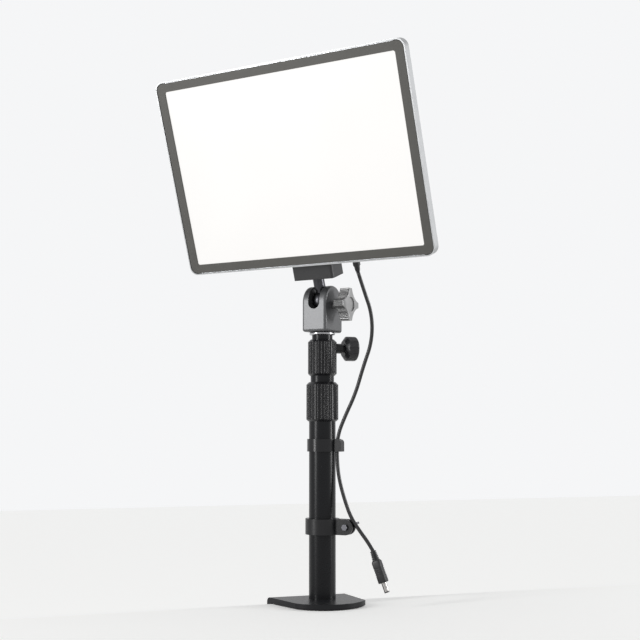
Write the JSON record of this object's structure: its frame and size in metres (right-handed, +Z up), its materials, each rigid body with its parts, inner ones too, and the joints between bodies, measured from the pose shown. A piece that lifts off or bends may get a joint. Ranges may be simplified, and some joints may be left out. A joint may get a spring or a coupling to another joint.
{
  "type": "led panel light",
  "caption": "Wide flat LED light panel on a ball head and a telescopic pole with a desk clamp, lock collars, thumb screw, cable guides and a loose power plug.",
  "frame": {"origin": "on the pole's axis at the underside of the clamp's upper jaw, where the table top is", "axes": "+Z up along the pole; -Y is the clamp's front, over the table; +Y is behind the table edge, where the web hangs; the panel's face is turned 49.5 degrees from -Y towards +X and leans 19.5 degrees face down"},
  "size_m": [0.2945, 0.3233, 0.7874],
  "materials": {
    "shell_silver": "fine satin anodised",
    "bezel_black": "flat dark grey anodised",
    "diffuser_white": "opal sheet, lit from behind",
    "guide_clear": "clear acrylic sheet",
    "reflector_white": "white film",
    "led_cream": "phosphor-coated packages",
    "led_board_white": "white solder mask",
    "bare_aluminium": "machined",
    "housing_black": "fine moulded texture",
    "steel_black": "black oxide",
    "steel_bright": "zinc plated",
    "brass_plain": "turned",
    "board_green": "solder mask",
    "component_black": "moulded",
    "button_grey": "satin moulded",
    "block_graphite": "fine texture, satin graphite",
    "head_grey": "fine texture, satin grey",
    "head_knob_grey": "satin grey",
    "ring_polished": "polished",
    "ball_black": "gloss black",
    "acetal_white": "self-lubricating, plain",
    "pole_black": "satin black anodised",
    "collar_black": "satin moulded, fluted grip",
    "knob_black": "satin moulded",
    "bracket_black": "fine black powder coat",
    "rubber_black": "matt",
    "cord_black": "satin jacket",
    "plug_black": "satin moulded",
    "barrel_silver": "nickel plated"
  },
  "bodies": {
    "stand": {"clamp_bracket": "bracket_black", "top_pad": "rubber_black", "base_plug": "bare_aluminium", "base_bolt": "steel_bright", "jaw_nut": "brass_plain", "main_tube": "pole_black", "lower_collet": "acetal_white", "upper_cable_clip": "collar_black", "cable_collar": "collar_black", "collar_bolt": "steel_black", "cord_lower": "cord_black", "loose_plug": "plug_black", "loose_barrel": "barrel_silver", "loose_tip": "plug_black"},
    "jaw_pad": {"swivel_pad": "bracket_black", "pad_rubber": "rubber_black"},
    "jaw_screw": {"clamp_screw": "steel_bright", "screw_knob": "knob_black"},
    "collar_wing_nut": {"wing_nut": "steel_black"},
    "lower_lock": {"lower_lock_collar": "collar_black"},
    "mid_pole": {"mid_tube": "pole_black", "mid_guide": "acetal_white", "upper_collet": "acetal_white"},
    "upper_lock": {"upper_lock_collar": "collar_black"},
    "thumb_lock": {"thumb_screw": "steel_bright", "thumb_knob": "knob_black"},
    "top_pole": {"top_tube": "pole_black", "top_guide": "acetal_white", "top_plug": "pole_black"},
    "ball_head": {"head_body": "head_grey", "head_base_ring": "ring_polished", "ball_seat": "acetal_white", "brake_shoe": "brass_plain"},
    "head_lock": {"head_knob": "head_knob_grey", "head_knob_screw": "steel_bright"},
    "ball": {"ball_stem": "ball_black"},
    "panel": {"tray": "shell_silver", "front_bezel": "bezel_black", "diffuser": "diffuser_white", "light_guide": "guide_clear", "reflector": "reflector_white", "leds": "led_cream", "led_boards": "led_board_white", "heat_bars": "bare_aluminium", "rear_housing": "housing_black", "housing_screws": "steel_black", "mount_block": "block_graphite", "block_screws": "steel_bright", "thread_insert": "brass_plain", "control_board": "board_green", "driver_board": "board_green", "board_screws": "steel_bright", "radio_module": "steel_bright", "driver_components": "component_black", "dc_jack": "component_black", "tact_switch": "component_black", "dc_plug": "plug_black", "cord_upper": "cord_black"},
    "power_key": {"power_button": "button_grey", "switch_plunger": "button_grey"}
  },
  "joints": [
    {"name": "jaw_travel", "type": "slide", "parent": "stand", "child": "jaw_pad", "axis": [0, 0, 1], "range_m": [-0.031, 0.028]},
    {"name": "jaw_screw_turn", "type": "hinge", "parent": "jaw_pad", "child": "jaw_screw", "pos_m": [0, -0.002, -0.037], "axis": [0, 0, -1], "range_deg": [-5590, 5050]},
    {"name": "cable_collar_nut", "type": "hinge", "parent": "stand", "child": "collar_wing_nut", "pos_m": [0.02348, -0.02348, 0.0948], "axis": [0.7071, 0.7071, 0], "range_deg": [-180, 180]},
    {"name": "lower_lock_turn", "type": "hinge", "parent": "stand", "child": "lower_lock", "pos_m": [0, 0, 0.2485], "axis": [0, 0, 1], "range_deg": [-90, 0]},
    {"name": "mid_extend", "type": "slide", "parent": "stand", "child": "mid_pole", "axis": [0, 0, 1], "range_m": [0, 0.185], "deforming": ["cord_upper"]},
    {"name": "upper_lock_turn", "type": "hinge", "parent": "mid_pole", "child": "upper_lock", "pos_m": [0, 0, 0.3038], "axis": [0, 0, 1], "range_deg": [-90, 0]},
    {"name": "thumb_knob_turn", "type": "hinge", "parent": "upper_lock", "child": "thumb_lock", "pos_m": [0, 0, 0.3157], "axis": [1, 0, 0], "range_deg": [-180, 180]},
    {"name": "top_extend", "type": "slide", "parent": "mid_pole", "child": "top_pole", "axis": [0, 0, 1], "range_m": [0, 0.22], "deforming": ["cord_upper"]},
    {"name": "head_pan", "type": "hinge", "parent": "top_pole", "child": "ball_head", "pos_m": [0, 0, 0.332], "axis": [0, 0, 1], "range_deg": [-90, 90], "deforming": ["cord_upper"]},
    {"name": "head_knob_turn", "type": "hinge", "parent": "ball_head", "child": "head_lock", "pos_m": [0, 0, 0.3693], "axis": [0.6494, -0.7604, 0], "range_deg": [-180, 180]},
    {"name": "ball_tilt", "type": "hinge", "parent": "ball_head", "child": "ball", "pos_m": [0, 0, 0.3753], "axis": [0.6494, -0.7604, 0], "range_deg": [-49.5, 70.5], "deforming": ["cord_upper"]},
    {"name": "ball_roll", "type": "hinge", "parent": "ball", "child": "panel", "pos_m": [0, 0, 0.3753], "axis": [-0.2538, -0.2168, 0.9426], "range_deg": [-90, 90], "deforming": ["cord_upper"]},
    {"name": "power_key_press", "type": "slide", "parent": "panel", "child": "power_key", "axis": [-0.7168, -0.6122, -0.3338], "range_m": [0, 0.0006], "stiffness_N_per_m": 800}
  ],
  "couplings": [
    {"joint": "jaw_screw_turn", "follows": "jaw_travel", "rad_per_m": 3141.6}
  ]
}
